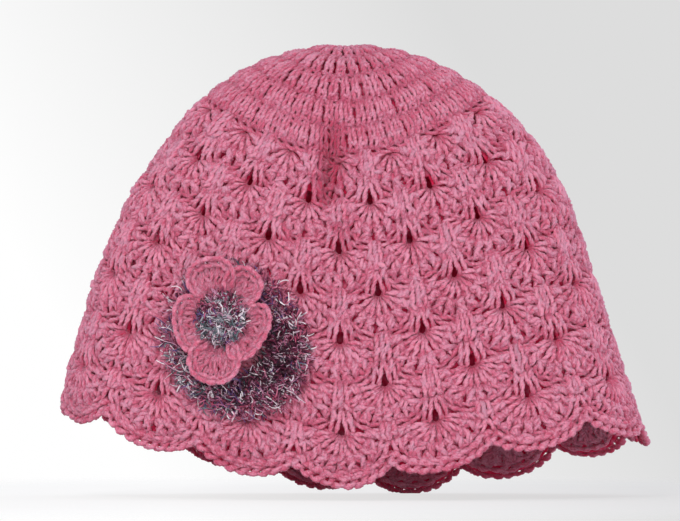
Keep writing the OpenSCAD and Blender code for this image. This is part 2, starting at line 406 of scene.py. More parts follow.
# %% Stitches
class Chart:
    """A flat chart pinned to the hat at (f, s). x runs round the hat and y down it, in millimetres.

    While inside is set, stitches are laid on the inner side of the fabric, a little flatter."""

    inside = False

    def __init__(self, f, s, y_scale):
        self.f, self.s, self.per_mm = f, s, 1 / round_length(s + y_scale)

    def lay(self, x, y, h):
        if self.inside:
            h = -2.2 - 0.45 * np.asarray(h)
        return place(self.f + np.asarray(x) * self.per_mm, self.s + np.asarray(y), h)


def along(start, end, t):
    """Points from start to end, and the unit vector across the way."""
    start, end = np.asarray(start, float), np.asarray(end, float)
    way = end - start
    across = np.array([-way[1], way[0]]) / max(np.hypot(*way), 1e-6)
    return start[None] + way[None] * t[:, None], across


def post(yarn, chart, start, end, spread=(0.5, 1.25), thick=(1.2, 1.35), rise=1.2, low=-0.8, cross=0.5):
    """Two strands from start to end that cross once, at the share cross of the way."""
    t = np.linspace(0, 1, 9)
    line, across = along(start, end, t)
    arch = low + (rise - low) * np.sin(np.pi * np.clip(t * 0.9 + 0.08, 0, 1)) ** 0.7
    side = rng.choice([-1, 1])
    bow = rng.normal(0, 0.2)
    turn = np.clip(0.5 + (t - cross) * 1.6, 0, 1)
    for sign in (1, -1):
        off = sign * side * (spread[0] + (spread[1] - spread[0]) * t) * np.cos(np.pi * turn)
        over = sign * 0.6 * np.sin(np.pi * turn)
        xy = line + across * (off + bow * np.sin(np.pi * t))[:, None]
        radius = thick[0] + (thick[1] - thick[0]) * np.minimum(1, t * 1.6)
        yarn.add(chart.lay(xy[:, 0], xy[:, 1], arch + over), radius * rng.uniform(0.93, 1.07))


def yarn_over(yarn, chart, start, end, at=0.55, half=1.6, h=2.2, thick=1.15):
    """A short strand that lies slantwise across a post."""
    t = np.linspace(0, 1, 6)
    line, across = along(start, end, at + 0.22 * (t - 0.5) * rng.choice([-1, 1]))
    xy = line + across * (half * (2 * t - 1))[:, None]
    yarn.add(chart.lay(xy[:, 0], xy[:, 1], h * np.sin(np.pi * (0.12 + 0.76 * t)) - 0.4), thick * np.sin(np.pi * (0.25 + 0.5 * t)))


def link(yarn, chart, start, end, wide=1.2, thick=1.25, h=1.7):
    """One link of a chain: two strands that part in the middle and meet under the next link."""
    t = np.linspace(-0.25, 1.3, 8)
    line, across = along(start, end, t)
    u = np.linspace(0, 1, 8)
    for sign in (1, -1):
        off = sign * (0.3 + wide * np.sin(np.pi * u ** 0.8))
        xy = line + across * off[:, None]
        arch = h * (np.sin(np.pi * np.clip(u * 0.82 + 0.12, 0, 1)) ** 0.8) - 0.5
        taper = thick * (0.72 + 0.28 * np.sin(np.pi * u))
        yarn.add(chart.lay(xy[:, 0], xy[:, 1], arch + 0.1 * sign), taper * rng.uniform(0.94, 1.06))


# %% [markdown]
# The crown is rounds of plain double crochet, 12 more stitches in each, which is what keeps a disc flat. The
# shell rounds repeat a fan of posts out of one eyelet and a V stitch between two fans. In the next round they
# change places, so each V stitch ends in the eyelet that the next fan starts from.

# %% Crown
def crown_round(number):
    """One round of plain double crochet."""
    yarn = Yarn(f"crown_stitches_{number}")
    stitches = 14 * number + (2 if number == 1 else 0)
    top = START_R + (number - 1) * CROWN_H
    turn = 0.35 * number
    for i in range(stitches):
        chart = Chart((i + turn) / stitches, top, CROWN_H)
        pitch = round_length(top + CROWN_H) / stitches
        start = np.array([rng.normal(0, 0.3) - 0.5, -1.9])
        end = np.array([rng.normal(0, 0.3), CROWN_H - 2.2])
        post(yarn, chart, start, end, (0.8, 1.35), (1.15, 1.4), 1.7, 0.5, 1.25)
        yarn_over(yarn, chart, start, end, rng.uniform(0.55, 0.8), 1.7, 2.3, 1.2)
        lean = rng.uniform(0.3, 1.1)
        link(yarn, chart, (-0.55 * pitch, CROWN_H - 1.3 - lean), (0.45 * pitch, CROWN_H - 0.7), 1.15, 1.25, 1.5)
    return yarn.mesh()


def start_ring():
    """The chain ring that the crown grows from."""
    yarn = Yarn("crown_start_stitches")
    for i in range(8):
        chart = Chart(i / 8, START_R - 2.4, 0.5)
        link(yarn, chart, (-1.6, 0), (1.6, 0), 0.9)
    return yarn.mesh()


finish_piece(start_ring(), pink_yarn, "hat_yarn", "crown_start_ring")
for number in range(1, CROWN_ROUNDS + 1):
    finish_piece(crown_round(number), pink_yarn, "hat_yarn", f"crown_round_{number}")


# %% Shell rounds
POSTS = [7, 8, 9, 9, 10, 11, 11]
EYELET_R = 1.5


def shell_outline(width, height, notch, n):
    """n points, evenly spaced, round a fan's edge from its upper left to its upper right."""
    a = np.linspace(-np.pi * 0.5, np.pi * 0.5, 200)
    g = (np.abs(np.sin(a)) ** 2.5 + np.abs(np.cos(a)) ** 2.5) ** (-1 / 2.5)
    x, y = width / 2 * np.sin(a) * g, height * np.cos(a) * g
    if notch:
        off = np.clip(2 * x / width, -1, 1)
        lift = (1 - np.sqrt(1 - 0.85 * off * off)) / (1 - np.sqrt(0.15))
        y = np.minimum(y, height - notch * lift)
    walk = np.concatenate([[0], np.cumsum(np.hypot(np.diff(x), np.diff(y)))])
    at = np.linspace(0, walk[-1], n)
    return np.stack([np.interp(at, walk, x), np.interp(at, walk, y)], -1)


def ray(yarn, chart, start, end):
    """The lower part of a fan's post: one full strand over a flatter one."""
    t = np.linspace(0, 1, 8)
    line, across = along(start, end, t)
    reach = np.hypot(line[:, 0], line[:, 1])
    bow = rng.normal(0, 0.25) * np.sin(np.pi * t)
    radius = np.clip(0.17 * reach + 0.3, 0.5, 1.35)
    xy = line + across * bow[:, None]
    arch = -0.9 + 2.9 * np.sin(np.pi * np.clip(t * 0.8 + 0.05, 0, 1)) ** 0.8
    yarn.add(chart.lay(xy[:, 0], xy[:, 1], arch), radius)
    side = rng.choice([-1, 1]) * 0.12 * reach
    xy = xy + across * side[:, None]
    yarn.add(chart.lay(xy[:, 0], xy[:, 1], arch - 1.3), radius)


def fan(yarn, f, s, width, height, posts, notch=0):
    """A shell: posts out of one eyelet, closed by a chain of their tops."""
    chart = Chart(f, s, height / 2)
    rim = shell_outline(width - 2.4, height - 0.6, notch, posts + 1)
    middles = (rim[1:] + rim[:-1]) / 2
    for tip in middles:
        reach = np.hypot(*tip)
        hub = tip / reach * EYELET_R
        knee = tip * rng.uniform(0.56, 0.66)
        end = tip * (1 - 1.3 / reach) + rng.normal(0, 0.4, 2)
        ray(yarn, chart, hub, knee * 1.1)
        post(yarn, chart, knee * 0.95, end, (1.1, 1.4), (1.3, 1.3), 1.6, 0.4, 0.5)
        yarn_over(yarn, chart, hub, end, rng.uniform(0.62, 0.7), 1.7, 2.5, 1.3)
        yarn_over(yarn, chart, hub, end, rng.uniform(0.8, 0.92), 1.8, 2.3, 1.3)
    for i in range(posts):
        if abs(rim[i][0] + rim[i + 1][0]) < 0.86 * width:
            wander = rng.normal(0, 0.4, 4)
            link(yarn, chart, rim[i] + wander[:2], rim[i + 1] + wander[2:], 1.15, 1.3, rng.uniform(1.6, 2.4))


def v_stitch(yarn, f, s, height):
    """Two posts out of one stitch that part round the next eyelet."""
    chart = Chart(f, s, height / 2)
    for sign in (-1, 1):
        lean = rng.normal(0, 0.3)
        start, knee, end = (sign * 1.2 + lean, -2), (sign * 1.6 + lean, height * 0.5), (sign * 3.7, height + 0.8)
        post(yarn, chart, start, knee, (0.9, 1.3), (1.3, 1.45), 2.2, 1.0, 1.2)
        post(yarn, chart, knee, end, (1.3, 1.2), (1.45, 1.2), 2.2, 0.3, 1.2)
        yarn_over(yarn, chart, start, end, rng.uniform(0.3, 0.5), 2, 3.2, 1.3)
        yarn_over(yarn, chart, start, end, rng.uniform(0.6, 0.8), 1.9, 2.8, 1.25)


def shell_round(number, name="shell_stitches"):
    """One round of fans and V stitches."""
    yarn = Yarn(f"{name}_{number}")
    s = CROWN_END + (number - 1) * SHELL_H
    width = round_length(s + SHELL_H / 2) / SHELLS
    last = number == SHELL_ROUNDS
    for i in range(SHELLS):
        f = FRONT_SHIFT + (i + (number - SHELL_ROUNDS) / 2) / SHELLS
        fan(yarn, f, s, width, SHELL_H, POSTS[number - 1], NOTCH if last else 0)
        v_stitch(yarn, f + 0.5 / SHELLS, s, SHELL_H - (NOTCH if last else 0))
    return yarn.mesh(on_hat=not Chart.inside)


for number in range(1, SHELL_ROUNDS + 1):
    finish_piece(shell_round(number), pink_yarn, "hat_yarn", f"shell_round_{number}")
Chart.inside = True
finish_piece(shell_round(SHELL_ROUNDS, "inner_stitches"), pink_yarn, "hat_yarn")
Chart.inside = False


# %% [markdown]
# The brim is closed by a chain that follows every scallop. It is thicker than the chains between rounds, so
# it gets wider links of full yarn, spaced evenly along the scalloped line.

# %% Edging
def scallop_line(f):
    """Way down of the brim's outline."""
    v = (f - FRONT_SHIFT) * SHELLS
    off = 2 * (v - np.floor(v + 0.5))
    return SHELLS_END - NOTCH * (1 - np.sqrt(1 - 0.85 * off * off)) / (1 - np.sqrt(0.15))


def edging():
    """The braided chain round the brim."""
    yarn = Yarn("edging_stitches")
    f = np.linspace(0, 1, 3001)
    s = scallop_line(f) + EDGING_W * 0.34
    line = spot(f, s)
    walk = np.concatenate([[0], np.cumsum(np.linalg.norm(np.diff(line, axis=0), axis=1))])
    links = int(round(walk[-1] / 4.4))
    for i in range(links):
        f0, f1 = np.interp([i / links * walk[-1], (i + 1) / links * walk[-1]], walk, f)
        s0, s1 = np.interp([f0, f1], f, s)
        chart = Chart(f0, s0, 0)
        link(yarn, chart, (0, 0.8), ((f1 - f0) / chart.per_mm, s1 - s0 - 0.6), 1.9, 1.6, 2.2)
    return yarn.mesh()


finish_piece(edging(), pink_yarn, "hat_yarn", "scallop_edging")


# %% [markdown]
# Between the strands the eye meets the back of the fabric, where the same yarn runs in flatter loops. It is
# one thin sheet on the inner side, from a grid whose points are moved onto the hat, with a hole left open at
# each eyelet, so that light falls through there as it does on the real hat. The sheet's deep pink is painted
# shade, which darkens the gaps between the strands.

# %% Back of the fabric, in painted shade
BACK_H, BACK_T = -1.6, 0.7
COLUMNS, ROWS_CROWN, ROWS_SHELL = 22 * SHELLS, 18, 13


def eyelets():
    """(f, s) of every eyelet, where a fan starts."""
    for number in range(1, SHELL_ROUNDS + 1):
        for i in range(SHELLS):
            yield FRONT_SHIFT + (i + (number - SHELL_ROUNDS) / 2) / SHELLS, CROWN_END + (number - 1) * SHELL_H


def fabric_back_painted_shade(material):
    """The inner side of the whole cap, a thin sheet in the deep pink of painted shade."""
    rows = ROWS_CROWN + ROWS_SHELL * SHELL_ROUNDS
    bm = bmesh.new()
    bmesh.ops.create_grid(bm, x_segments=COLUMNS, y_segments=rows, size=0.5)
    co = np.array([v.co for v in bm.verts])
    f = FRONT_SHIFT + co[:, 0] + 0.5
    row = (co[:, 1] + 0.5) * rows
    s = np.interp(row, [0, ROWS_CROWN, rows], [START_R - 3, CROWN_END, SHELLS_END])
    last = CROWN_END + (SHELL_ROUNDS - 1) * SHELL_H
    s = np.where(s > last, last + (s - last) / SHELL_H * (scallop_line(f) + 2.2 - last), s)
    for v, p in zip(bm.verts, place(f, s, BACK_H)):
        v.co = p
    holes = set()
    for ef, es in eyelets():
        across = ((f - ef + 0.5) % 1 - 0.5) * round_length(es)
        holes.update(np.nonzero((across / 1.1) ** 2 + ((s - es + 1.6) / 2.2) ** 2 < 1)[0].tolist())
    bm.verts.ensure_lookup_table()
    bmesh.ops.delete(bm, geom=[bm.verts[i] for i in holes], context="VERTS")
    bmesh.ops.remove_doubles(bm, verts=bm.verts, dist=1e-5)
    bmesh.ops.recalc_face_normals(bm, faces=bm.faces)
    made = bpy.data.meshes.new("fabric_back_painted_shade")
    bm.to_mesh(made)
    bm.free()
    made.shade_smooth()
    piece = bpy.data.objects.new("fabric_back_painted_shade", made)
    bpy.context.scene.collection.objects.link(piece)
    wall = piece.modifiers.new("wall", "SOLIDIFY")
    wall.thickness = BACK_T * MM
    wall.offset = 0
    print("fabric_back_painted_shade", len(made.polygons), "faces,", len(holes), "points left out at eyelets")
    return finish_piece(piece, material, "hat_yarn")


def loop_back_material(name, stops):
    """Flat loops of yarn: rounded cells a stitch wide, pink on top, with deep pink painted between them as shade."""
    material, tree, shader = new_material(name)
    place_on = tree.nodes.new("ShaderNodeTexCoord").outputs["Object"]
    cells = tree.nodes.new("ShaderNodeTexVoronoi")
    cells.inputs["Scale"].default_value = 300
    cells.inputs["Randomness"].default_value = 0.8
    tree.links.new(place_on, cells.inputs["Vector"])
    # Painted shade: the farther from a cell's middle, the deeper and darker the pink.
    depth = math_node(tree, "MULTIPLY_ADD", cells.outputs["Distance"], -0.9, 0.75)
    level = math_node(tree, "MULTIPLY_ADD", noise(tree, place_on, 700, 3), 0.5, depth)
    tree.links.new(ramp(tree, level, stops), shader.inputs["Base Color"])
    bump = tree.nodes.new("ShaderNodeBump")
    bump.inputs["Strength"].default_value = 0.9
    bump.inputs["Distance"].default_value = 0.0012
    tree.links.new(level, bump.inputs["Height"])
    tree.links.new(bump.outputs["Normal"], shader.inputs["Normal"])
    shader.inputs["Roughness"].default_value = 0.9
    shader.inputs["Specular IOR Level"].default_value = 0.2
    return material


# Deep pinks of painted shade, for the sheets seen in the gaps between strands.
DEEP_PINKS_PAINTED_SHADE = [(0.3, linear(206, 24, 68)), (0.6, linear(214, 52, 92)), (0.9, linear(214, 100, 130))]
back_yarn_painted_shade = loop_back_material("back_yarn_painted_shade", DEEP_PINKS_PAINTED_SHADE)
fabric_back_painted_shade(back_yarn_painted_shade)


# %% [markdown]
# The flower is worked by itself and sewn on, so it gets its own flat chart, pinned to the hat where its
# middle is: x to the right, y up and z out of the fabric. A petal is a shallow cup of posts whose rim is a
# thick rolled chain. Its floor is a function that the chart adds to every height, so posts, yarn-overs and
# links from the hat can be used again without a change.

# %% The flower's chart
FLOWER_F, FLOWER_S = -0.099, 141
flower_out = outward(FLOWER_F, FLOWER_S)
flower_right = np.array([-flower_out[1], flower_out[0], 0]) / np.hypot(flower_out[0], flower_out[1])
flower_up = np.cross(flower_out, flower_right)
flower_middle = spot(FLOWER_F, FLOWER_S) + flower_out * (FABRIC_T / 2 + float(relief(FLOWER_F, FLOWER_S)))


class FlowerChart:
    """A chart on the flower, whose floor is a height or a function of x and y."""

    def __init__(self, floor):
        self.floor = floor

    def lay(self, x, y, h):
        x, y, h = np.broadcast_arrays(np.asarray(x, float), np.asarray(y, float), np.asarray(h, float))
        z = h + (self.floor(x, y) if callable(self.floor) else self.floor)
        return MM * (flower_middle + x[:, None] * flower_right + y[:, None] * flower_up + z[:, None] * flower_out)


print("flower middle", flower_middle.round(1))

# %% Petals
PETALS = [
    {"way": 106, "reach": 16.9, "wide": 8.4, "long": 6.8, "level": 0.3},
    {"way": 58, "reach": 15.4, "wide": 6.8, "long": 6.2, "level": -0.2},
    {"way": -28, "reach": 12.8, "wide": 11.4, "long": 5.6, "level": 0.2},
    {"way": -96, "reach": 17.4, "wide": 9.2, "long": 8.4, "level": 1.0},
    {"way": -169, "reach": 12.2, "wide": 10.8, "long": 5.6, "level": -0.1},
]


def petal_plan(petal, a, scale=1.0):
    """Points of a petal's outline at the angles a from its way, or of a smaller outline inside it."""
    way = math.radians(petal["way"])
    g = (np.abs(np.cos(a)) ** 2.3 + np.abs(np.sin(a)) ** 2.3) ** (-1 / 2.3)
    u = petal["reach"] + scale * petal["long"] * np.cos(a) * g
    v = scale * petal["wide"] * np.sin(a) * g
    return u * math.cos(way) - v * math.sin(way), u * math.sin(way) + v * math.cos(way)


def petal_floor(petal):
    """The floor of a petal: a cup that is open towards the flower's middle."""
    way = math.radians(petal["way"])

    def height(x, y):
        u = (x * math.cos(way) + y * math.sin(way) - petal["reach"]) / petal["long"]
        v = (y * math.cos(way) - x * math.sin(way)) / petal["wide"]
        q = (np.maximum(u, 0) ** 2.3 + np.abs(v) ** 2.3) ** (1 / 2.3)
        return 9.6 + petal["level"] + 4.2 * np.clip(q, 0, 1.1) ** 2.2 + 0.6 * np.sin(3 * v + petal["way"])

    return height


def petal_stitches(number, petal):
    """Posts from the middle to the rim, and the rolled chain on the rim."""
    yarn = Yarn(f"petal_stitches_{number}")
    chart = FlowerChart(petal_floor(petal))
    way = math.radians(petal["way"])
    for a in np.linspace(-2.1, 2.1, 13):
        tip = np.array(petal_plan(petal, a, 0.86)) + rng.normal(0, 0.25, 2)
        hub = 4.2 * np.array([math.cos(way + 0.42 * a), math.sin(way + 0.42 * a)])
        knee = hub + (tip - hub) * 0.5
        post(yarn, chart, hub, knee * 1.04, (0.4, 0.7), (0.9, 1.1), 0.6, -0.4, 1.3)
        post(yarn, chart, knee, tip, (0.7, 0.9), (1.1, 1.1), 0.9, 0.0, 0.5)
        yarn_over(yarn, chart, hub, tip, rng.uniform(0.5, 0.62), 1.3, 1.4, 1.05)
        yarn_over(yarn, chart, hub, tip, rng.uniform(0.74, 0.88), 1.4, 1.4, 1.05)
    outline = np.stack(petal_plan(petal, np.linspace(-2.5, 2.5, 400)), -1)
    walk = np.concatenate([[0], np.cumsum(np.linalg.norm(np.diff(outline, axis=0), axis=1))])
    links = int(walk[-1] / 3.9)
    ends = np.stack([np.interp(np.linspace(0, walk[-1], links + 1), walk, outline[:, k]) for k in (0, 1)], -1)
    for start, end in zip(ends, ends[1:]):
        link(yarn, chart, start, end, rng.uniform(0.75, 0.95), 1.3, 2.0)
    return yarn.mesh(on_hat=False)


def petal_back(number, petal, material):
    """The flat loops behind a petal's stitches, as one thin cupped sheet in the deep pink of painted shade."""
    bm = bmesh.new()
    bmesh.ops.create_grid(bm, x_segments=18, y_segments=18, size=1)
    chart = FlowerChart(petal_floor(petal))
    for v in bm.verts:
        a, q = math.atan2(v.co.y, v.co.x), max(abs(v.co.x), abs(v.co.y))
        x, y = petal_plan(petal, a, 0.95 * q)
        v.co = chart.lay([x], [y], [-1.1])[0]
    bmesh.ops.solidify(bm, geom=bm.faces, thickness=0.9 * MM)
    bmesh.ops.recalc_face_normals(bm, faces=bm.faces)
    made = bpy.data.meshes.new(f"petal_back_{number}")
    bm.to_mesh(made)
    bm.free()
    made.shade_smooth()
    piece = bpy.data.objects.new(made.name, made)
    bpy.context.scene.collection.objects.link(piece)
    finish_piece(piece, material, "flower_yarn")


for number, petal in enumerate(PETALS, 1):
    finish_piece(petal_stitches(number, petal), flower_pink, "flower_yarn", f"flower_petal_{number}")
    petal_back(number, petal, back_yarn_painted_shade)


# %% [markdown]
# Behind the petals a small flat disc of chain rounds carries the flower, and a chain ring closes its middle.
# Five short stitches of sewing thread go over the disc's edge and down into the hat.

# %% Backing, centre ring and sewing thread
def ring_of_links(yarn, chart, radius, count, wide, thick):
    """A chain ring."""
    angles = np.linspace(0, 2 * np.pi, count + 1)
    corners = radius * np.stack([np.cos(angles), np.sin(angles)], -1)
    for start, end in zip(corners, corners[1:]):
        link(yarn, chart, start, end, wide, thick)


backing = Yarn("flower_backing_stitches")
for radius, count in ((3, 5), (6.2, 9), (9.4, 13), (12.4, 18)):
    ring_of_links(backing, FlowerChart(0.6), radius, count, 1.2, 1.2)
for level in (2.6, 5.0, 7.4):
    ring_of_links(backing, FlowerChart(level), 7.6, 11, 1.2, 1.3)
finish_piece(backing.mesh(on_hat=False), flower_pink, "flower_yarn", "flower_backing")

centre_ring = Yarn("centre_ring_stitches")
ring_of_links(centre_ring, FlowerChart(9.8), 5.2, 9, 1.1, 1.25)
ring_of_links(centre_ring, FlowerChart(11.0), 3.0, 6, 1.0, 1.2)
finish_piece(centre_ring.mesh(on_hat=False), flower_pink, "flower_yarn", "flower_centre_ring")

thread = Yarn("sewing_stitches")
for k in range(5):
    a = math.radians(20 + 72 * k)
    t = np.linspace(0, 1, 9)
    for side in (-0.5, 0.5):
        radius = 10.6 + 5 * t
        x = radius * math.cos(a) - side * math.sin(a)
        y = radius * math.sin(a) + side * math.cos(a)
        thread.add(FlowerChart(0).lay(x, y, 2.9 * np.sin(np.pi * (0.2 + 0.75 * t))), 0.36)
thread_pink = yarn_material("thread_pink", PINKS_WITH_PAINTED_SHADE[:4], 0.2)
finish_piece(thread.mesh(on_hat=False), thread_pink, "sewing_yarn", "flower_sewing_tacks")

# %% [markdown]
# Eyelash yarn is a thin core with hundreds of short shiny ribbons that stand off it. Hair particles could do
# this, but they don't become solid geometry, so each lash is a short flat strand of its own with only a few
# faces. Lashes of one colour are one piece, and where on the flower a colour grows is set by its angle.
# The yarn has dark lashes of its own; more of them gather next to the petals and low in the tuft as painted
# shade.

# %% Eyelash yarn
lash_data = bpy.data.curves.new("lash_section", "CURVE")
lash_data.dimensions = "2D"
ribbon = lash_data.splines.new("POLY")
ribbon.points.add(3)
for point, (x, y) in zip(ribbon.points, ((1, 0), (0, 0.5), (-1, 0), (0, -0.5))):
    point.co = (MM * x, MM * y, 0, 1)
ribbon.use_cyclic_u = True
lash_section = bpy.data.objects.new("lash_section", lash_data)


def lash_material(name, dark, light, roughness, metallic=0.0):
    """Shiny synthetic ribbon, a little different from lash to lash and along each one."""
    material, tree, shader = new_material(name)
    level = math_node(tree, "MULTIPLY_ADD", fibre_streaks(tree, 3, 2, 2), 0.6, math_node(tree, "MULTIPLY", each_strand(tree), 0.5))
    tree.links.new(ramp(tree, level, [(0.25, linear(*dark)), (0.75, linear(*light))]), shader.inputs["Base Color"])
    shader.inputs["Roughness"].default_value = roughness
    shader.inputs["Metallic"].default_value = metallic
    shader.inputs["Specular IOR Level"].default_value = 0.6
    return material


LASH_COLOURS = {
    "night": ((26, 5, 18), (70, 24, 48), 0.4),
    "plum": ((92, 18, 50), (152, 58, 96), 0.4),
    "mauve": ((158, 84, 122), (214, 150, 180), 0.35),
    "violet": ((62, 44, 108), (122, 92, 150), 0.35),
    "teal": ((48, 66, 78), (120, 136, 142), 0.35),
    "rose": ((176, 50, 88), (222, 128, 158), 0.4),
    "silver": ((206, 172, 192), (250, 244, 247), 0.3),
}
lash_materials = {name: lash_material(f"lash_{name}", *look) for name, look in LASH_COLOURS.items()}
RUFFLE_MIDDLE, RUFFLE_R = (5, -5.5), (23.5, 26)
TUFT_MIDDLE = np.array([-0.3, -0.2, 11.5])
hat_chart = Chart(FLOWER_F, FLOWER_S, 0)


def lay_ruffle(points):
    """Points of the ruffle, as x, y and height over the hat in millimetres, laid on the hat."""
    return hat_chart.lay(points[:, 0], -points[:, 1], FABRIC_T / 2 + points[:, 2])


def lay_tuft(points):
    """Points of the tuft laid on the flower."""
    return FlowerChart(0).lay(points[:, 0], points[:, 1], points[:, 2])


def lash(yarn, lay, root, way, length, radius, floor):
    """One lash: it leaves its root, curls, and thins towards its tip."""
    t = np.linspace(0, 1, 6)[:, None]
    way = way / np.linalg.norm(way)
    side = np.cross(way, rng.normal(0, 1, 3))
    side = side / np.linalg.norm(side)
    curl = rng.uniform(0.5, 2.4)
    points = root + length / curl * (way * np.sin(curl * t) + side * (1 - np.cos(curl * t)))
    points[:, 2] = np.maximum(points[:, 2], floor + 0.4 * t[:, 0])
    yarn.add(lay(points), radius * (1 - 0.5 * t[:, 0] ** 2))


def pick_colour(mix):
    names = list(mix)
    share = np.array([mix[name] for name in names], float)
    return names[rng.choice(len(names), p=share / share.sum())]


def ruffle_mix(angle, outer):
    """Which colours grow at an angle round the ruffle, in degrees. outer runs from 0 inside to 1 outside."""
    if -150 < angle < -105:
        mix = {"night": 2.2, "plum": 2, "mauve": 2, "rose": 1, "teal": 3, "silver": 2.4, "violet": 0.6}
    elif -105 <= angle < -55:
        mix = {"night": 4.5, "plum": 3.5, "mauve": 2, "rose": 1.4, "violet": 1.5, "teal": 0.8, "silver": 1.8}
    elif -55 <= angle < 35:
        mix = {"night": 6.5, "plum": 4, "mauve": 1.6, "rose": 1.2, "violet": 0.4, "teal": 0.5, "silver": 2}
    elif 35 <= angle < 80:
        mix = {"night": 3, "plum": 4.5, "mauve": 2.2, "rose": 2, "violet": 1.5, "silver": 1.6}
    else:
        mix = {"mauve": 3.2, "plum": 1.6, "rose": 2.5, "silver": 2.4, "teal": 0.7, "violet": 0.5, "night": 0.3}
    # Painted shade on top of the yarn's own dark lashes: more night lashes inside, next to the petals, and in the
    # mixes below and to the right of them.
    mix["night"] *= 1.5 - 1.2 * outer
    mix["rose"] *= 0.4 + 2.6 * outer
    return mix


def ruffle_spot(angle, r_extra, z):
    """A place on the ruffle's ring."""
    return np.array([RUFFLE_MIDDLE[0] + (RUFFLE_R[0] + r_extra) * math.cos(angle), RUFFLE_MIDDLE[1] + (RUFFLE_R[1] + r_extra) * math.sin(angle), z])


def ruffle():
    """Core loops and lashes of the ruffle, sorted by colour."""
    lashes = {name: Yarn(f"ruffle_lashes_{name}") for name in LASH_COLOURS}
    core = Yarn("ruffle_core_loops")
    for i in range(300):
        angle = rng.uniform(-np.pi, np.pi)
        degrees = math.degrees(angle)
        full = -150 < degrees < 70
        if rng.uniform() > (1.0 if full else 0.5):
            continue
        out = rng.uniform(-11, 1) if full and rng.uniform() < 0.6 else rng.normal(0, 2.0)
        middle = ruffle_spot(angle, out, rng.uniform(1.2, 4.0))
        turn = np.linspace(0, rng.uniform(3.5, 6), 9) + rng.uniform(0, 6.28)
        size = rng.uniform(1.4, 2.8)
        loop = middle + size * np.stack([np.cos(turn), np.sin(turn), 0.5 * np.sin(turn + rng.uniform(0, 6))], -1)
        core.add(lay_ruffle(loop), 0.5)
    for i in range(6200):
        angle = rng.uniform(-np.pi, np.pi)
        degrees = math.degrees(angle)
        full = np.interp(degrees, [-180, -150, -110, 50, 85, 120, 180], [0.45, 0.8, 1, 1, 0.45, 0.3, 0.45])
        if rng.uniform() > full:
            continue
        tube = rng.uniform(-0.5, np.pi + 0.2)
        inner = -155 < degrees < 75 and rng.uniform() < 0.36
        out = rng.uniform(-12, -2) if inner else 3.2 * math.cos(tube) + rng.normal(0, 1.3)
        root = ruffle_spot(angle, out, 2.6 + 2.4 * math.sin(tube))
        way = np.array([math.cos(tube) * math.cos(angle), math.cos(tube) * math.sin(angle), 0.8 * math.sin(tube)]) + rng.normal(0, 0.65, 3)
        name = pick_colour(ruffle_mix(degrees, np.clip(0.5 + out / 7, 0, 1)))
        thick = rng.uniform(0.3, 0.46) if name == "silver" else rng.uniform(0.22, 0.36)
        lash(lashes[name], lay_ruffle, root, way, rng.uniform(2.4, 5.0 if inner else 7.0), thick, 0.9)
    return core, lashes


def tuft():
    """Core loops and lashes of the tuft, sorted by colour."""
    lashes = {name: Yarn(f"tuft_lashes_{name}") for name in LASH_COLOURS}
    core = Yarn("tuft_core_loops")
    for i in range(100):
        angle = rng.uniform(-np.pi, np.pi)
        r = 8.6 * math.sqrt(rng.uniform())
        middle = TUFT_MIDDLE + np.array([r * math.cos(angle), 1.1 * r * math.sin(angle), rng.uniform(0, 3.2 - 0.12 * r)])
        turn = np.linspace(0, rng.uniform(3.5, 6), 9) + rng.uniform(0, 6.28)
        size = rng.uniform(1.2, 2.6)
        loop = middle + size * np.stack([np.cos(turn), np.sin(turn), 0.6 * np.sin(turn + rng.uniform(0, 6))], -1)
        core.add(lay_tuft(loop), rng.uniform(0.45, 0.65))
    for i in range(1250):
        angle = rng.uniform(-np.pi, np.pi)
        r = 9 * math.sqrt(rng.uniform())
        x, y = r * math.cos(angle), 1.1 * r * math.sin(angle)
        height = rng.uniform(-0.5, 4)
        way = np.array([math.cos(angle), math.sin(angle), 0.9]) + rng.normal(0, 0.6, 3)
        mix = {"silver": 2.6, "teal": 1.8, "plum": 1.6, "mauve": 1.0, "night": 1.6, "violet": 0.4}
        # Painted shade on top of the yarn's own dark lashes: the lowest lashes of the tuft are mostly dark.
        if height < 1:
            mix = {"night": 4, "plum": 2, "teal": 1}
        elif y > 2.5:
            mix = {"plum": 3.5, "mauve": 2, "rose": 1.2, "night": 1.2, "silver": 1.2}
        elif x < -3.5 and y > -1:
            mix = {"violet": 4, "plum": 1.5, "night": 1.2, "silver": 1}
        elif x < -4:
            mix = {"teal": 3, "silver": 2, "night": 1.5, "plum": 1}
        root = TUFT_MIDDLE + np.array([x, y, height])
        lash(lashes[pick_colour(mix)], lay_tuft, root, way, rng.uniform(2.2, 4.6), rng.uniform(0.24, 0.42), 10.5)
    return core, lashes


core_plum = yarn_material("core_plum", [(0.3, linear(26, 6, 18)), (0.55, linear(72, 26, 50)), (0.8, linear(120, 70, 100))], 0.3)
core_teal = yarn_material("core_teal", [(0.3, linear(30, 40, 48)), (0.55, linear(84, 96, 108)), (0.8, linear(190, 186, 196))], 0.3)
for (core, lashes), material, node in ((ruffle(), core_plum, "flower_fur_ruffle"), (tuft(), core_teal, "flower_fur_tuft")):
    finish_piece(core.mesh(on_hat=False), material, "eyelash_yarn", node)
    for name, yarn in lashes.items():
        if yarn.strands:
            finish_piece(yarn.mesh(False, lash_section, 0.15), lash_materials[name], "eyelash_yarn")


# %% [markdown]
# The floor is a small disc of pale paper that fades out at its rim, so that it has no visible end and hides
# the hat from no side. Around it the world stands in for a studio sweep: for camera rays it is a smooth
# gradient from white to light grey, and for all other rays it is one soft, slightly cool light.

# %% Floor
GRADIENT = [(0.0, linear(221, 221, 221)), (1.0, linear(255, 255, 255))]
FAR = 500 / 36 * 0.2755


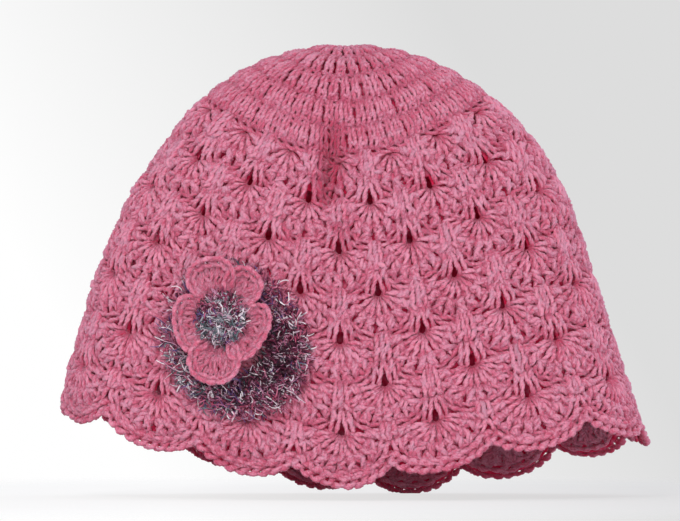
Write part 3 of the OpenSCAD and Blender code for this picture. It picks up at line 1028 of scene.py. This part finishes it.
def seen_directly(tree):
    """1 for rays that carry the background into the picture, else 0."""
    rays = tree.nodes.new("ShaderNodeLightPath").outputs
    seen = math_node(tree, "MAXIMUM", rays["Is Camera Ray"], rays["Is Glossy Ray"])
    return math_node(tree, "MAXIMUM", seen, rays["Is Transmission Ray"])


def paper_material():
    """Matte white paper whose rim fades, and which is clear from below."""
    material, tree, shader = new_material("floor_paper")
    shader.inputs["Roughness"].default_value = 0.9
    place_on = tree.nodes.new("ShaderNodeTexCoord").outputs["Object"]
    parts = tree.nodes.new("ShaderNodeSeparateXYZ")
    tree.links.new(place_on, parts.inputs["Vector"])
    tint = ramp(tree, math_node(tree, "MULTIPLY_ADD", parts.outputs["X"], -16.6 / FAR, 0.68), GRADIENT)
    tree.links.new(ramp(tree, noise(tree, place_on, 900, 2), [(0, linear(236, 236, 236)), (1, linear(244, 244, 244))]), shader.inputs["Base Color"])
    glow = tree.nodes.new("ShaderNodeEmission")
    tree.links.new(tint, glow.inputs["Color"])
    lit = tree.nodes.new("ShaderNodeMixShader")
    tree.links.new(math_node(tree, "MULTIPLY", seen_directly(tree), 0.8), lit.inputs["Fac"])
    tree.links.new(shader.outputs["BSDF"], lit.inputs[1])
    tree.links.new(glow.outputs["Emission"], lit.inputs[2])
    length = tree.nodes.new("ShaderNodeVectorMath")
    length.operation = "LENGTH"
    tree.links.new(place_on, length.inputs[0])
    fade = tree.nodes.new("ShaderNodeMapRange")
    fade.interpolation_type = "SMOOTHSTEP"
    fade.inputs["From Min"].default_value = 0.2
    fade.inputs["From Max"].default_value = 0.4
    tree.links.new(length.outputs["Value"], fade.inputs["Value"])
    under = tree.nodes.new("ShaderNodeNewGeometry").outputs["Backfacing"]
    clear = tree.nodes.new("ShaderNodeBsdfTransparent")
    edge = tree.nodes.new("ShaderNodeMixShader")
    tree.links.new(math_node(tree, "MAXIMUM", fade.outputs["Result"], under), edge.inputs["Fac"])
    tree.links.new(lit.outputs["Shader"], edge.inputs[1])
    tree.links.new(clear.outputs["BSDF"], edge.inputs[2])
    out = next(node for node in tree.nodes if node.type == "OUTPUT_MATERIAL")
    tree.links.new(edge.outputs["Shader"], out.inputs["Surface"])
    return material


bm = bmesh.new()
bmesh.ops.create_circle(bm, cap_ends=True, segments=96, radius=0.4)
floor_mesh = bpy.data.meshes.new("floor")
bm.to_mesh(floor_mesh)
bm.free()
floor = bpy.data.objects.new("floor", floor_mesh)
bpy.context.scene.collection.objects.link(floor)
floor_mesh.materials.append(paper_material())
print("floor disc faces up:", floor_mesh.polygons[0].normal.z > 0)

# %% World and lights
scene = bpy.context.scene
scene.view_settings.view_transform = "Standard"
world = bpy.data.worlds.new("studio")
scene.world = world
world.use_nodes = True
tree = world.node_tree
soft = tree.nodes["Background"]
soft.inputs["Color"].default_value = (0.9, 0.92, 1.0, 1)
soft.inputs["Strength"].default_value = 0.7
seen_sky = tree.nodes.new("ShaderNodeBackground")
direction = tree.nodes.new("ShaderNodeSeparateXYZ")
tree.links.new(tree.nodes.new("ShaderNodeTexCoord").outputs["Generated"], direction.inputs["Vector"])
share = math_node(tree, "MULTIPLY_ADD", direction.outputs["X"], -16.6, 0.438)
share = math_node(tree, "MULTIPLY_ADD", direction.outputs["Z"], -9.7, share)
tree.links.new(ramp(tree, share, GRADIENT), seen_sky.inputs["Color"])
both = tree.nodes.new("ShaderNodeMixShader")
tree.links.new(seen_directly(tree), both.inputs["Fac"])
tree.links.new(soft.outputs["Background"], both.inputs[1])
tree.links.new(seen_sky.outputs["Background"], both.inputs[2])
tree.links.new(both.outputs["Shader"], tree.nodes["World Output"].inputs["Surface"])


def area_light(name, at, size, power, colour):
    """A round soft lamp that points at the hat's middle."""
    lamp = bpy.data.lights.new(name, "AREA")
    lamp.shape = "DISK"
    lamp.size = size
    lamp.energy = power
    lamp.color = colour
    holder = bpy.data.objects.new(name, lamp)
    scene.collection.objects.link(holder)
    holder.location = at
    holder.rotation_euler = (Vector((0, 0, 0.09)) - Vector(at)).to_track_quat("-Z", "Y").to_euler()


area_light("key", (-0.4, -1.5, 1.05), 0.45, 12, (1, 0.98, 0.97))
area_light("fill", (0.15, -1.7, 0.03), 0.6, 8, (1, 0.98, 0.97))
area_light("rim", (1.2, 0.7, 0.5), 0.5, 5, (0.86, 0.84, 1))
print("world and", len(bpy.data.lights), "lamps")

# %% [markdown]
# The camera stands far away with a long lens, level with the hat's middle, so that the hat is drawn almost
# without perspective.

# %% Camera
camera_data = bpy.data.cameras.new("camera")
camera_data.lens = 500
camera_data.sensor_width = 36
camera_data.clip_end = 50
camera = bpy.data.objects.new("camera", camera_data)
scene.collection.objects.link(camera)
scene.camera = camera
target = Vector((-0.006, 0, 0.0958))
camera.location = target + Vector((0, -FAR, 0))
camera.rotation_euler = (target - camera.location).to_track_quat("-Z", "Y").to_euler()
